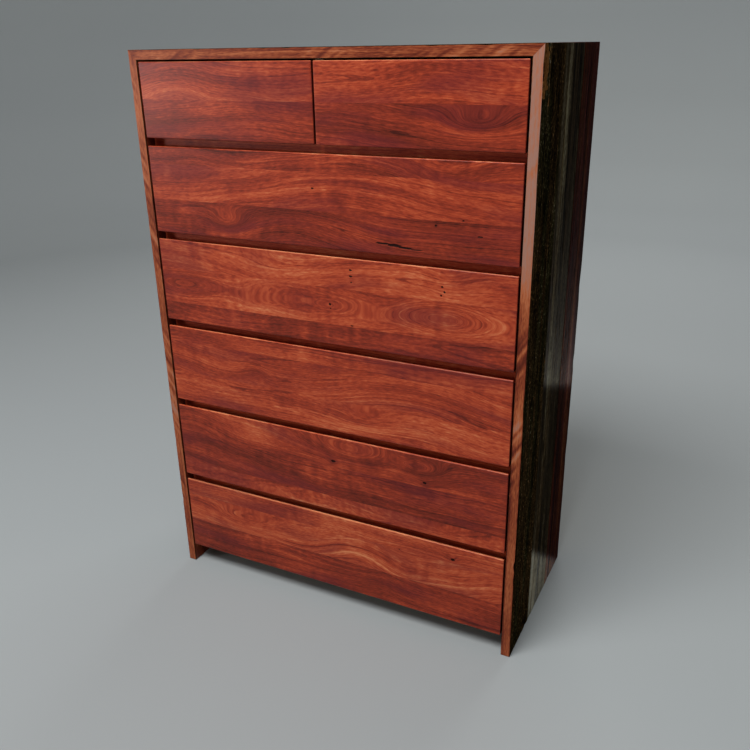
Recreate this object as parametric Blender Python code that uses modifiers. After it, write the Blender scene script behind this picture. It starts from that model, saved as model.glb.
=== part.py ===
"""Seven-drawer hardwood tallboy: two small drawers over five wide ones, opened by the gaps between fronts.

Metres, +Z up. X runs across the carcass, the fronts face -Y, and the origin is on the floor under its middle.
"""

import bmesh
import bpy
from mathutils import Vector

# Carcass: two sides and a top of one board thickness, mitred together at the top corners.
WIDTH = 0.913
DEPTH = 0.430
BOARD = 0.022
FOOT_CLEARANCE = 0.054
HOUSING = 0.006
BACK_THICKNESS = 0.006
BACK_REBATE = 0.010
BOTTOM_THICKNESS = 0.018
BOTTOM_TUCK = 0.002
DIVIDER_THICKNESS = 0.018

# Drawer fronts, row by row from the top, and the gaps round them.
TOP_ROW_HEIGHT = 0.157
SECOND_ROW_HEIGHT = 0.191
THIRD_ROW_HEIGHT = 0.195
FOURTH_ROW_HEIGHT = 0.194
FIFTH_ROW_HEIGHT = 0.196
BOTTOM_ROW_HEIGHT = 0.203
FINGER_GAP = 0.017
TOP_REVEAL = 0.003
SIDE_REVEAL = 0.0035
MIDDLE_REVEAL = 0.004
FRONT_THICKNESS = 0.019
FRONT_LAND = 0.005

# Rails across the carcass, seen at the back of each finger gap.
RAIL_SETBACK = 0.030
RAIL_THICKNESS = 0.020
RAIL_RISE = 0.005
RAIL_DROP = 0.024

# Drawer boxes, hung on hardwood runners that lie in grooves along their sides.
SIDE_THICKNESS = 0.015
SIDE_SPACE = 0.013
BOX_CLEARANCE = 0.002
BOX_END_SPACE = 0.019
DRAWER_BACK_THICKNESS = 0.012
DRAWER_BACK_DROP = 0.005
DRAWER_BOTTOM_THICKNESS = 0.006
BOTTOM_GROOVE_DEPTH = 0.005
BOTTOM_GROOVE_HEIGHT = 0.010
RUNNER_HEIGHT = 0.018
RUNNER_LAP = 0.0065
RUNNER_SIDE_PLAY = 0.001
RUNNER_LIFT_PLAY = 0.0012
RUNNER_FRONT_SPACE = 0.021
RUNNER_END_SPACE = 0.012

# The dovetailed key on each drawer side that slides up into a socket in the back of the front.
KEY_DEPTH = 0.009
KEY_NECK = 0.008
KEY_TAIL = 0.011
KEY_SHOULDER = 0.003
KEY_ROOT = 0.004

# Clearance between pieces that touch, and eased arrises.
FIT = 0.0003
ARRIS = 0.0012
SMALL_ARRIS = 0.0006

# Places that follow from the sizes above.
ROW_HEIGHTS = (
    TOP_ROW_HEIGHT,
    SECOND_ROW_HEIGHT,
    THIRD_ROW_HEIGHT,
    FOURTH_ROW_HEIGHT,
    FIFTH_ROW_HEIGHT,
    BOTTOM_ROW_HEIGHT,
)
ROWS = len(ROW_HEIGHTS)
FRONT_Y = -DEPTH / 2
REAR_Y = DEPTH / 2
INNER_X = WIDTH / 2 - BOARD
UNDER_TOP_Z = FOOT_CLEARANCE + sum(ROW_HEIGHTS) + (ROWS - 1) * FINGER_GAP + TOP_REVEAL
HEIGHT = UNDER_TOP_Z + BOARD
FRONT_BACK_Y = FRONT_Y + FRONT_THICKNESS
RAIL_Y = FRONT_Y + RAIL_SETBACK
BACK_PANEL_Y = REAR_Y - BACK_THICKNESS
BOX_END_Y = BACK_PANEL_Y - BOX_END_SPACE

# How far a cutter stands past the face that it cuts, and how near a sawn plane an edge of the cut lies.
OVERCUT = BOARD / 2
ON_PLANE = FIT / 10

TIMBERS = {
    "weathered_hardwood": ((0.055, 0.038, 0.026), 0.45),
    "red_hardwood": ((0.33, 0.085, 0.045), 0.38),
    "shaded_red_hardwood": ((0.16, 0.040, 0.026), 0.45),
    "pale_hardwood": ((0.50, 0.30, 0.16), 0.55),
    "plywood": ((0.46, 0.31, 0.18), 0.60),
}


def clear_scene():
    for obj in list(bpy.data.objects):
        bpy.data.objects.remove(obj, do_unlink=True)


def new_collection(name):
    collection = bpy.data.collections.new(name)
    bpy.context.scene.collection.children.link(collection)
    return collection


def new_timber(name):
    colour, roughness = TIMBERS[name]
    timber = bpy.data.materials.new(name)
    timber.use_nodes = True
    shader = timber.node_tree.nodes["Principled BSDF"]
    shader.inputs["Base Color"].default_value = (*colour, 1.0)
    shader.inputs["Roughness"].default_value = roughness
    shader.inputs["Metallic"].default_value = 0.0
    return timber


def new_board(name, x, y, z, timber=None, collection=None, parent=None):
    """A square-edged board between two values along each axis, with its origin at its middle."""
    low = Vector((x[0], y[0], z[0]))
    high = Vector((x[1], y[1], z[1]))
    mesh = bpy.data.meshes.new(name)
    bm = bmesh.new()
    bmesh.ops.create_cube(bm, size=1.0)
    bmesh.ops.scale(bm, vec=high - low, verts=bm.verts)
    bm.to_mesh(mesh)
    bm.free()
    obj = bpy.data.objects.new(name, mesh)
    (collection or PARTS).objects.link(obj)
    obj.parent = parent
    obj.location = (low + high) / 2 - (parent.location if parent else Vector())
    if timber:
        mesh.materials.append(timber)
    return obj


def middle_of(obj):
    return obj.location + (obj.parent.location if obj.parent else Vector())


def saw(obj, point, normal):
    """Takes off what lies past a plane, and closes the sawn face."""
    bm = bmesh.new()
    bm.from_mesh(obj.data)
    everything = bm.verts[:] + bm.edges[:] + bm.faces[:]
    local = Vector(point) - middle_of(obj)
    cut = bmesh.ops.bisect_plane(
        bm, geom=everything, dist=ON_PLANE, plane_co=local, plane_no=normal, clear_outer=True
    )
    rim = [item for item in cut["geom_cut"] if isinstance(item, bmesh.types.BMEdge)]
    bmesh.ops.contextual_create(bm, geom=rim)
    bmesh.ops.recalc_face_normals(bm, faces=bm.faces)
    bm.to_mesh(obj.data)
    bm.free()


def ease(obj, width, planes=()):
    """Eases the arrises, apart from those that lie in one of the sawn planes, which stay crisp."""
    mesh = obj.data
    weights = mesh.attributes.new("bevel_weight_edge", "FLOAT", "EDGE")
    middle = middle_of(obj)
    for edge in mesh.edges:
        ends = [mesh.vertices[i].co + middle for i in edge.vertices]
        sawn = any(all(abs((end - point).dot(normal)) < ON_PLANE for end in ends) for point, normal in planes)
        weights.data[edge.index].value = 0.0 if sawn else 1.0
    bevel = obj.modifiers.new("eased_arrises", "BEVEL")
    bevel.limit_method = "WEIGHT"
    bevel.width = width
    bevel.segments = 1


def new_cutter(name, x, y, z):
    cutter = new_board(name, x, y, z, collection=CUTTERS)
    cutter.hide_render = True
    cutter.display_type = "WIRE"
    return cutter


def join_or_cut(obj, other, operation):
    boolean = obj.modifiers.new(f"{operation.lower()}_{other.name}", "BOOLEAN")
    boolean.operation = operation
    boolean.object = other


def cut(obj, name, x, y, z):
    join_or_cut(obj, new_cutter(f"{obj.name}_{name}", x, y, z), "DIFFERENCE")


def widened(span, margin):
    return span[0] - margin, span[1] + margin


def mirrored(span, hand):
    """The span across X as it is on the right (hand 1), or mirrored to the left (hand -1)."""
    return tuple(sorted((hand * span[0], hand * span[1])))


def row_bottoms():
    """The height of each row of fronts' lower edge, from the top row down."""
    z = UNDER_TOP_Z - TOP_REVEAL
    bottoms = []
    for height in ROW_HEIGHTS:
        z -= height
        bottoms.append(z)
        z -= FINGER_GAP
    return bottoms


def rail_span(row):
    """The rail below a row: from a little above that row's lower edge to below the next row's top."""
    lower_edge = row_bottoms()[row]
    return lower_edge - FINGER_GAP - RAIL_DROP, lower_edge + RAIL_RISE


def bottom_span():
    low = FOOT_CLEARANCE + BOTTOM_TUCK
    return low, low + BOTTOM_THICKNESS


def make_side_panel(name, hand):
    """One side, mitred at the top, housed for the rails and the bottom, and rebated for the back."""
    outer, inner = WIDTH / 2, INNER_X
    panel = new_board(name, mirrored((inner, outer), hand), (FRONT_Y, REAR_Y), (0, HEIGHT), WEATHERED)
    mitre_point = Vector((hand * outer, 0, HEIGHT))
    mitre_normal = Vector((-hand, 0, 1)).normalized()
    saw(panel, mitre_point, mitre_normal)
    ease(panel, ARRIS, [(mitre_point, mitre_normal)])
    housing_x = mirrored((inner - OVERCUT, inner + HOUSING), hand)
    for row in range(ROWS - 1):
        rail_y = widened((RAIL_Y, RAIL_Y + RAIL_THICKNESS), FIT)
        cut(panel, f"rail_housing_{row + 1}", housing_x, rail_y, widened(rail_span(row), FIT))
    cut(panel, "bottom_housing", housing_x, (RAIL_Y - FIT, BACK_PANEL_Y), widened(bottom_span(), FIT))
    rebate_x = mirrored((inner - OVERCUT, inner + BACK_REBATE + FIT), hand)
    rebate_y = (BACK_PANEL_Y - FIT, REAR_Y + OVERCUT)
    cut(panel, "back_rebate", rebate_x, rebate_y, (bottom_span()[0] - FIT, HEIGHT + OVERCUT))


def make_top_panel():
    """The top, mitred at both ends, grooved for the divider and rebated for the back."""
    half = WIDTH / 2
    top = new_board("top_panel", (-half, half), (FRONT_Y, REAR_Y), (UNDER_TOP_Z, HEIGHT), WEATHERED)
    planes = []
    for hand in (-1, 1):
        normal = Vector((hand, 0, -1)).normalized()
        point = Vector((hand * half, 0, HEIGHT)) - normal * FIT
        saw(top, point, normal)
        planes.append((point, normal))
    ease(top, ARRIS, planes)
    groove_x = DIVIDER_THICKNESS / 2 + FIT
    groove_z = (UNDER_TOP_Z - OVERCUT, UNDER_TOP_Z + HOUSING)
    cut(top, "divider_groove", (-groove_x, groove_x), (RAIL_Y - FIT, BACK_PANEL_Y), groove_z)
    rebate_x = INNER_X + BACK_REBATE + FIT
    rebate_z = (UNDER_TOP_Z - OVERCUT, UNDER_TOP_Z + BACK_REBATE + FIT)
    cut(top, "back_rebate", (-rebate_x, rebate_x), (BACK_PANEL_Y - FIT, REAR_Y + OVERCUT), rebate_z)


def make_carcass():
    make_side_panel("left_side_panel", -1)
    make_side_panel("right_side_panel", 1)
    make_top_panel()
    housed_x = INNER_X + HOUSING - FIT
    rail_y = (RAIL_Y, RAIL_Y + RAIL_THICKNESS)
    for row in range(ROWS - 1):
        rail = new_board(f"drawer_rail_{row + 1}", (-housed_x, housed_x), rail_y, rail_span(row), SHADED)
        ease(rail, SMALL_ARRIS)
    bottom_y = (RAIL_Y, BACK_PANEL_Y - 2 * FIT)
    bottom = new_board("bottom_panel", (-housed_x, housed_x), bottom_y, bottom_span(), PALE)
    ease(bottom, SMALL_ARRIS)
    divider_x = DIVIDER_THICKNESS / 2
    divider_z = (rail_span(0)[1] + FIT, UNDER_TOP_Z + HOUSING - FIT)
    divider = new_board("centre_divider", (-divider_x, divider_x), bottom_y, divider_z, PALE)
    ease(divider, SMALL_ARRIS)
    back_x = INNER_X + BACK_REBATE - FIT
    back_z = (bottom_span()[0], UNDER_TOP_Z + BACK_REBATE - FIT)
    new_board("back_panel", (-back_x, back_x), (BACK_PANEL_Y, REAR_Y), back_z, PLYWOOD)


def new_key(name, x, y, z, slack):
    """The dovetailed key or, with slack, its socket: a block that widens towards the front."""
    key = new_cutter(name, widened((x, x), KEY_NECK / 2 + slack), y, z)
    slope = (KEY_TAIL - KEY_NECK) / 2 / KEY_DEPTH
    for vertex in key.data.vertices:
        past_neck = FRONT_BACK_Y - (vertex.co.y + key.location.y)
        vertex.co.x += slope * past_neck * (1 if vertex.co.x > 0 else -1)
    return key


def make_front(name, x, z, side_xs, side_z, panel_z, parent):
    """A front: its top edge is undercut for the fingers, and its back has two sockets and a groove."""
    front = new_board(f"{name}_front", x, (FRONT_Y, FRONT_BACK_Y), z, RED, parent=parent)
    undercut_point = Vector((0, FRONT_Y + FRONT_LAND, z[1]))
    saw(front, undercut_point, Vector((0, 1, 1)).normalized())
    ease(front, ARRIS)
    socket_y = (FRONT_BACK_Y - KEY_DEPTH - FIT, FRONT_BACK_Y + OVERCUT / 2)
    socket_z = (z[0] - OVERCUT, side_z[1] - KEY_SHOULDER + FIT)
    for label, side_x in zip(("left", "right"), side_xs):
        socket = new_key(f"{name}_{label}_socket", side_x, socket_y, socket_z, FIT)
        join_or_cut(front, socket, "DIFFERENCE")
    groove_y = (FRONT_BACK_Y - BOTTOM_GROOVE_DEPTH, FRONT_BACK_Y + OVERCUT)
    cut(front, "bottom_groove", side_xs, groove_y, widened(panel_z, FIT))


def make_side(name, label, hand, side_x, side_z, panel_z, runner_z, parent):
    """A drawer side with its key at the front, the runner's groove outside and the bottom's groove inside."""
    x = widened((side_x, side_x), SIDE_THICKNESS / 2)
    y = (FRONT_BACK_Y + FIT, BOX_END_Y)
    side = new_board(f"{name}_side_{label}", x, y, side_z, PALE, parent=parent)
    ease(side, SMALL_ARRIS)
    key_y = (FRONT_BACK_Y - KEY_DEPTH, FRONT_BACK_Y + KEY_ROOT)
    key_z = (side_z[0] + KEY_SHOULDER, side_z[1] - KEY_SHOULDER)
    join_or_cut(side, new_key(f"{side.name}_key", side_x, key_y, key_z, 0), "UNION")
    outer_face = side_x + hand * SIDE_THICKNESS / 2
    inner_face = side_x - hand * SIDE_THICKNESS / 2
    runner_groove = sorted((outer_face - hand * (RUNNER_LAP + RUNNER_SIDE_PLAY), outer_face + hand * OVERCUT))
    runner_y = (FRONT_BACK_Y + RUNNER_FRONT_SPACE - FIT, BOX_END_Y + OVERCUT)
    cut(side, "runner_groove", runner_groove, runner_y, (runner_z[0] - RUNNER_LIFT_PLAY, runner_z[1] + FIT))
    bottom_groove = sorted((inner_face - hand * OVERCUT, inner_face + hand * BOTTOM_GROOVE_DEPTH))
    bottom_y = (FRONT_BACK_Y - KEY_DEPTH - OVERCUT, BOX_END_Y + OVERCUT)
    cut(side, "bottom_groove", bottom_groove, bottom_y, widened(panel_z, FIT))


def make_runner(name, label, hand, side_x, runner_z):
    """A hardwood strip on the carcass, from its wall to RUNNER_LAP inside the drawer side's groove."""
    outer_face = side_x + hand * SIDE_THICKNESS / 2
    x = sorted((outer_face - hand * RUNNER_LAP, outer_face + hand * (SIDE_SPACE - FIT)))
    y = (FRONT_BACK_Y + RUNNER_FRONT_SPACE, BACK_PANEL_Y - RUNNER_END_SPACE)
    ease(new_board(f"{name}_runner_{label}", x, y, runner_z, PALE), SMALL_ARRIS)


def make_drawer(name, front_x, walls, row):
    """One drawer: front_x spans its front, and walls are the carcass faces that its runners are fixed to."""
    front_low = row_bottoms()[row]
    front_z = (front_low, front_low + ROW_HEIGHTS[row])
    drop = RAIL_DROP + BOX_CLEARANCE
    rise = (bottom_span()[1] - front_low if row == ROWS - 1 else RAIL_RISE) + BOX_CLEARANCE
    side_z = (front_z[0] + rise, front_z[1] - drop)
    middle_z = sum(side_z) / 2
    runner_z = widened((middle_z, middle_z), RUNNER_HEIGHT / 2)
    panel_low = side_z[0] + BOTTOM_GROOVE_HEIGHT
    panel_z = (panel_low, panel_low + DRAWER_BOTTOM_THICKNESS)
    inset = SIDE_SPACE + SIDE_THICKNESS / 2
    side_xs = (walls[0] + inset, walls[1] - inset)

    holder = bpy.data.objects.new(name, None)
    holder.location = (sum(front_x) / 2, FRONT_Y, sum(front_z) / 2)
    PARTS.objects.link(holder)

    make_front(name, front_x, front_z, side_xs, side_z, panel_z, holder)
    for label, hand, side_x in (("left", -1, side_xs[0]), ("right", 1, side_xs[1])):
        make_side(name, label, hand, side_x, side_z, panel_z, runner_z, holder)
        make_runner(name, label, hand, side_x, runner_z)
    inside_x = (side_xs[0] + SIDE_THICKNESS / 2 + FIT, side_xs[1] - SIDE_THICKNESS / 2 - FIT)
    back_y = (BOX_END_Y - DRAWER_BACK_THICKNESS, BOX_END_Y - FIT)
    back_z = (panel_z[1] + FIT, side_z[1] - DRAWER_BACK_DROP)
    ease(new_board(f"{name}_back", inside_x, back_y, back_z, PALE, parent=holder), SMALL_ARRIS)
    lap = BOTTOM_GROOVE_DEPTH - 2 * FIT
    panel_x = (inside_x[0] - lap, inside_x[1] + lap)
    panel_y = (FRONT_BACK_Y - lap, BOX_END_Y - FIT)
    new_board(f"{name}_bottom", panel_x, panel_y, panel_z, PLYWOOD, parent=holder)


def make_drawers():
    full = INNER_X - SIDE_REVEAL
    half_gap = MIDDLE_REVEAL / 2
    divider = DIVIDER_THICKNESS / 2
    make_drawer("top_left_drawer", (-full, -half_gap), (-INNER_X, -divider), 0)
    make_drawer("top_right_drawer", (half_gap, full), (divider, INNER_X), 0)
    for row, name in enumerate(("second", "third", "fourth", "fifth", "bottom"), start=1):
        make_drawer(f"{name}_drawer", (-full, full), (-INNER_X, INNER_X), row)


clear_scene()
PARTS = new_collection("tallboy")
CUTTERS = new_collection("cutters")
WEATHERED, RED, SHADED, PALE, PLYWOOD = (new_timber(name) for name in TIMBERS)
make_carcass()
make_drawers()
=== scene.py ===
# %% [markdown]
# # A seven-drawer tallboy in recycled jarrah
# Two small drawers stand over five wide ones. The case is two sides and a top of thick old boards: their
# outer faces keep the black, cracked skin of timber that stood outdoors for years, and their edges are
# planed red. The drawer fronts are freshly planed, oiled jarrah. The construction comes ready made as a
# frame of solids, so this script only dresses it: it builds the faces that show the most as finer meshes,
# and gives every piece the surface of its real material.

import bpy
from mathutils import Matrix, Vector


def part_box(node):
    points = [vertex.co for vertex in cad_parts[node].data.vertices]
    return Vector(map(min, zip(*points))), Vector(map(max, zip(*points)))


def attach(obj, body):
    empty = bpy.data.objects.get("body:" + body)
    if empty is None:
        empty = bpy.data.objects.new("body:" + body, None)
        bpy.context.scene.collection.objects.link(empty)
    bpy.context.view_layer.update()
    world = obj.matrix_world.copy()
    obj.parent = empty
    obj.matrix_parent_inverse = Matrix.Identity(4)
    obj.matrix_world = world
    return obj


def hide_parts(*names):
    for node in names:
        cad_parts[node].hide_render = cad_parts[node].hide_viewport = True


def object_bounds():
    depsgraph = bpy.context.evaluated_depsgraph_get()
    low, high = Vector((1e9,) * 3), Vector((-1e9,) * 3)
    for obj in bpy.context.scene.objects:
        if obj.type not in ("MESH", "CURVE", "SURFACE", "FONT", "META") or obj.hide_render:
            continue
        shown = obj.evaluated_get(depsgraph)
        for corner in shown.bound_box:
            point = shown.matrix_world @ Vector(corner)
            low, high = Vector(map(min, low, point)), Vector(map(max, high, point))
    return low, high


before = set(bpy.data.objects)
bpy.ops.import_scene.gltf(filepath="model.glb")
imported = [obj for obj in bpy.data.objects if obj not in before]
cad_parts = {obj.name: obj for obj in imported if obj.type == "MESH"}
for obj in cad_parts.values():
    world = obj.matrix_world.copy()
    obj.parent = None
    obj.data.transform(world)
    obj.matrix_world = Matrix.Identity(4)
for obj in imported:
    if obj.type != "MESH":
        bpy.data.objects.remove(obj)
case_low, case_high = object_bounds()
case_size = [round(size * 1000) for size in case_high - case_low]
print("frame:", len(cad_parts), "nodes, case", case_size, "mm")

# %% [markdown]
# ## Modules
# bpy is Blender itself, and bmesh edits a mesh by its corners, edges and faces. mathutils brings vectors,
# matrices and noise, a smooth random field that gives the same values in every run. Blender measures in
# metres, so MM turns millimetres into them.

# %% Modules
import math

import bmesh
import bpy
from mathutils import Matrix, Vector, noise

MM = 0.001
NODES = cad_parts
print("Blender", bpy.app.version_string, "dresses", len(NODES), "solids")

# %% [markdown]
# ## Colours and nodes
# Colours are written as sRGB hex, the way a paint chart or a photo editor gives them. Blender's sockets
# take linear light, so one function converts them. Another adds a shader node, sets its properties and
# fills its sockets, either with a value or with another node's output. A third starts a material with the
# values that are the same all over it. All the finishes below are written with these three.

# %% Three helpers
def linear(hex_colour):
    """An sRGB hex colour as linear red, green, blue and alpha."""
    channels = [int(hex_colour[start:start + 2], 16) / 255 for start in (1, 3, 5)]
    return (*(c / 12.92 if c <= 0.04045 else ((c + 0.055) / 1.055) ** 2.4 for c in channels), 1.0)


def add(tree, kind, settings, sockets):
    """Adds a node. Settings are its properties; sockets take values or the outputs of other nodes."""
    node = tree.nodes.new(kind)
    for name, value in settings.items():
        setattr(node, name, value)
    for name, value in sockets.items():
        if isinstance(value, bpy.types.NodeSocket):
            tree.links.new(value, node.inputs[name])
        else:
            node.inputs[name].default_value = value
    return node


def new_finish(name, roughness, ior, specular=0.5, metallic=0.0):
    """A material with its constant values on the shader's own sockets."""
    finish = bpy.data.materials.new(name)
    finish.use_nodes = True
    shader = finish.node_tree.nodes["Principled BSDF"]
    shader.inputs["Roughness"].default_value = roughness
    shader.inputs["IOR"].default_value = ior
    shader.inputs["Specular IOR Level"].default_value = specular
    shader.inputs["Metallic"].default_value = metallic
    return finish, finish.node_tree, shader


# A colour mix has its sockets at these places: the factor, the two colours, and the result.
FACTOR, COLOUR_A, COLOUR_B, MIXED = 0, 6, 7, 2
print("a mid jarrah red is", [round(c, 3) for c in linear("#8E3E2C")[:3]], "in linear light")

# %% [markdown]
# ## Where a point lies in the log
# Timber has no pattern printed on it: its figure is what the saw uncovers in the log. So each board gets a
# place in a log of its own. At any point of its surface we store three lengths: how far along the log the
# point is, how far from the heart, and how deep. Growth rings are surfaces of one distance from the heart.
# A board sawn beside the heart cuts them lengthwise, which gives straight lines; one sawn flat across gives
# arches. A branch pushes the rings aside, which gives an eye. A slow random wander keeps every line alive.
# The lengths are stored on the mesh as a vector called log, at the corners of faces, so they can jump at a
# glue line. A second value called tone says how pale or dark that board is.

# %% The log
HEART_WANDER = 20 * MM
WANDER_LENGTH = 340 * MM
RING_WAVE = 3.6 * MM
WAVE_LENGTH = 105 * MM
WAVE_HEIGHT = 28 * MM
LOG_SHIFT = Vector((0.41, 0.13, 0.17))
# The wander changes this many times faster across the board, and this share of it moves the rings sideways.
WANDER_CROSSWISE, WANDER_SIDEWAYS = 3, 0.7
# A knot's stain covers these shares of the knot's width and height.
STAIN_WIDE, STAIN_TALL = 0.6, 0.7


class Board:
    """
    A board of a front, with its width, knots and bends in mm. The heart of its log lies `heart` board
    widths above the lower edge and `depth` metres behind the face, and `taper` metres deeper for each metre
    along. A knot is (along, up, width, height, push, paler), and one with no push is only a pale or dark
    streak. A bend, where the trunk grew crooked and the grain rises or falls, is (along, lift, reach).
    """

    def __init__(self, width, tone, seed, heart=1.8, depth=0.05, taper=0.0, knots=(), bends=()):
        self.width = width * MM
        self.tone = tone
        self.seed = seed
        self.heart = heart
        self.depth = depth
        self.taper = taper
        self.knots = [([size * MM for size in knot[:5]], knot[5]) for knot in knots]
        self.bends = [[size * MM for size in bend] for bend in bends]

    def log_place(self, along, up, inwards):
        """(along, distance from the heart, depth) of a point that is `up` from the board's lower edge."""
        shift = self.seed * LOG_SHIFT
        slow_place = Vector((along / WANDER_LENGTH, up / WANDER_LENGTH * WANDER_CROSSWISE, 0))
        slow = noise.noise(slow_place + shift)
        wave_place = Vector((along / WAVE_LENGTH, up / WAVE_HEIGHT, inwards / WAVE_HEIGHT))
        wave = noise.noise(wave_place + shift * 2)
        lift = 0.0
        for middle, rise, reach in self.bends:
            lift += rise * math.exp(-(((along - middle) / reach) ** 2))
        depth = self.depth + self.taper * along + HEART_WANDER * slow + inwards
        height = up - lift - self.heart * self.width + HEART_WANDER * slow * WANDER_SIDEWAYS
        rings = math.hypot(depth, height) + RING_WAVE * wave
        for (knot_along, knot_up, width, tall, push), _ in self.knots:
            across = ((along - knot_along) / width) ** 2 + ((up - knot_up) / tall) ** 2
            rings += push * math.exp(-across)
        return along + shift.x, rings + shift.y, inwards + shift.z

    def tone_at(self, along, up):
        """The board's own tone and its knots': a branch stains the timber, or leaves a pale patch."""
        tone = self.tone
        for (knot_along, knot_up, width, tall, _), paler in self.knots:
            sideways = (along - knot_along) / width / STAIN_WIDE
            upwards = (up - knot_up) / tall / STAIN_TALL
            tone += paler * math.exp(-(sideways ** 2 + upwards ** 2))
        return tone


sample = Board(80, 0, seed=1)
in_log = sample.log_place(0.1, 0.02, 0.0)
print("a point of a board lies", [round(length, 3) for length in in_log], "m into its log")

# %% [markdown]
# ## Planed timber
# Planed wood gets its colour in layers: broad bands of growth, single rings, drifting clouds, and fibres.
# Every layer is the same noise, stretched along the log by the real length and thickness of what it draws.
# Thin lines are contours of one more noise: they follow the rings, some dark with gum and some pale. Where
# the grain waves, the plane cuts it at a changing slant, and patches of the surface show ripples across the
# board, as silk does. The pores are open at the surface: dark, a little rough, and a trace deep. They and
# the fibres are under half a millimetre thick, too fine to show from two metres, so they are drawn about
# four times as coarse. One function draws all planed timber; what makes it jarrah or a pale hardwood is the
# list of layers and the list of shades.

# %% Sizes of the figure
# In mm along the log, across the rings and deep.
PORES = (20, 1.7, 1.7)
RIPPLES = (24, 60, 60)
RIPPLED_PATCHES = (170, 45, 45)
LINES = (1100, 26, 300)
CLOUDS_OF_CAST = (260, 45, 45)
# The values of the noise between which each of them fades in.
PORES_FROM, RIPPLES_FROM, CAST_FROM = (0.60, 0.72), (0.48, 0.64), (0.46, 0.72)
PORE_DARKER = -0.12
CAST_SHARE = 0.5
# A line's level in the noise, its width in the same measure, and how much paler it is.
DARK_LINE = (0.47, 0.016, -0.17)
PALE_LINE = (0.60, 0.014, 0.13)
print("pores are drawn", PORES[0], "mm long")

# %% Layers of noise
def pattern(tree, place, sizes, detail=1.0):
    """Noise from 0 to 1 with grains of these sizes in mm at a place in the log."""
    scale = [1 / (size * MM) for size in sizes]
    stretched = add(tree, "ShaderNodeVectorMath", {"operation": "MULTIPLY"}, {0: place, 1: scale})
    return add(tree, "ShaderNodeTexNoise", {}, {
        "Vector": stretched.outputs[0], "Scale": 1.0, "Detail": detail,
    }).outputs["Fac"]


def more(tree, shade, value, strength):
    """The shade plus a value times a strength; both factors may be sockets."""
    sockets = {0: value, 1: strength, 2: shade}
    return add(tree, "ShaderNodeMath", {"operation": "MULTIPLY_ADD"}, sockets).outputs[0]


def layered(tree, place, shade, layers):
    """Adds each layer of noise to the shade, about its middle. Gives back the shade and the last noise."""
    for *sizes, detail, strength in layers:
        grain = pattern(tree, place, sizes, detail)
        shade = more(tree, more(tree, shade, grain, strength), 1.0, -strength / 2)
    return shade, grain


def coloured(tree, shade, shades):
    """The colour at this shade, from a list of (hex colour, shade) that rises from dark to pale."""
    colour = linear(shades[0][0])
    for (_, start), (hex_colour, end) in zip(shades, shades[1:]):
        share = add(tree, "ShaderNodeMapRange", {}, {"Value": shade, "From Min": start, "From Max": end})
        colour = add(tree, "ShaderNodeMix", {"data_type": "RGBA"}, {
            FACTOR: share.outputs[0], COLOUR_A: colour, COLOUR_B: linear(hex_colour),
        }).outputs[MIXED]
    return colour


def above(tree, value, low, high):
    """0 below one value, 1 above another, and smooth between them."""
    return add(tree, "ShaderNodeMapRange", {"interpolation_type": "SMOOTHSTEP"}, {
        "Value": value, "From Min": low, "From Max": high,
    }).outputs[0]


print("noise with grains of", PORES[0], "mm has a scale of", round(1 / (PORES[0] * MM)), "per metre")

# %% Planed timber
ROUGHNESS_SPREAD = 0.1
PLANED_BUMP, PLANED_RELIEF = 0.4, 0.08 * MM


def raise_surface(tree, height, strength, relief, socket):
    """Lets a value from 0 to 1 raise the surface by this relief, for one of the shader's normal sockets."""
    bump = add(tree, "ShaderNodeBump", {}, {"Height": height, "Strength": strength, "Distance": relief})
    tree.links.new(bump.outputs[0], socket)


def plane_timber(tree, shader, place, shade, layers, shades, ripple=0.0, ripples=RIPPLES, cast=None):
    """Planed timber from sockets that give the place in the log and the board's own shade."""
    shade, fibres = layered(tree, place, shade, layers)
    if ripple:
        rippled = above(tree, pattern(tree, place, RIPPLED_PATCHES, detail=0.0), *RIPPLES_FROM)
        waves = more(tree, -0.5, pattern(tree, place, ripples), 1.0)
        shade = more(tree, shade, more(tree, 0.0, waves, rippled), ripple)

    rings = pattern(tree, place, LINES, detail=0.5)
    for level, width, strength in (DARK_LINE, PALE_LINE):
        near = add(tree, "ShaderNodeMath", {"operation": "COMPARE"}, {0: rings, 1: level, 2: width / 2})
        shade = more(tree, shade, near.outputs[0], strength)

    pores = above(tree, pattern(tree, place, PORES), *PORES_FROM)
    shade = more(tree, shade, pores, PORE_DARKER)
    colour = coloured(tree, shade, shades)
    if cast:
        share = above(tree, pattern(tree, place, CLOUDS_OF_CAST, detail=2.0), *CAST_FROM)
        colour = add(tree, "ShaderNodeMix", {"data_type": "RGBA"}, {
            FACTOR: more(tree, 0.0, share, CAST_SHARE), COLOUR_A: colour, COLOUR_B: linear(cast),
        }).outputs[MIXED]
    tree.links.new(colour, shader.inputs["Base Color"])

    roughness = shader.inputs["Roughness"].default_value
    uneven = more(tree, roughness - ROUGHNESS_SPREAD / 2, fibres, ROUGHNESS_SPREAD)
    tree.links.new(uneven, shader.inputs["Roughness"])
    surface = more(tree, fibres, pores, -1.0)
    raise_surface(tree, surface, PLANED_BUMP, PLANED_RELIEF, shader.inputs["Normal"])


def stored(tree, name, output):
    """A value that the mesh carries."""
    return add(tree, "ShaderNodeAttribute", {"attribute_name": name}, {}).outputs[output]


print("lines along the rings:", DARK_LINE, PALE_LINE)

# %% [markdown]
# ## Oiled jarrah
# Jarrah is a heavy red Australian hardwood. Planed and wiped with oil, it takes a satin surface: the red
# looks deep and wet, and a window gives it a soft broad highlight.

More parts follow.
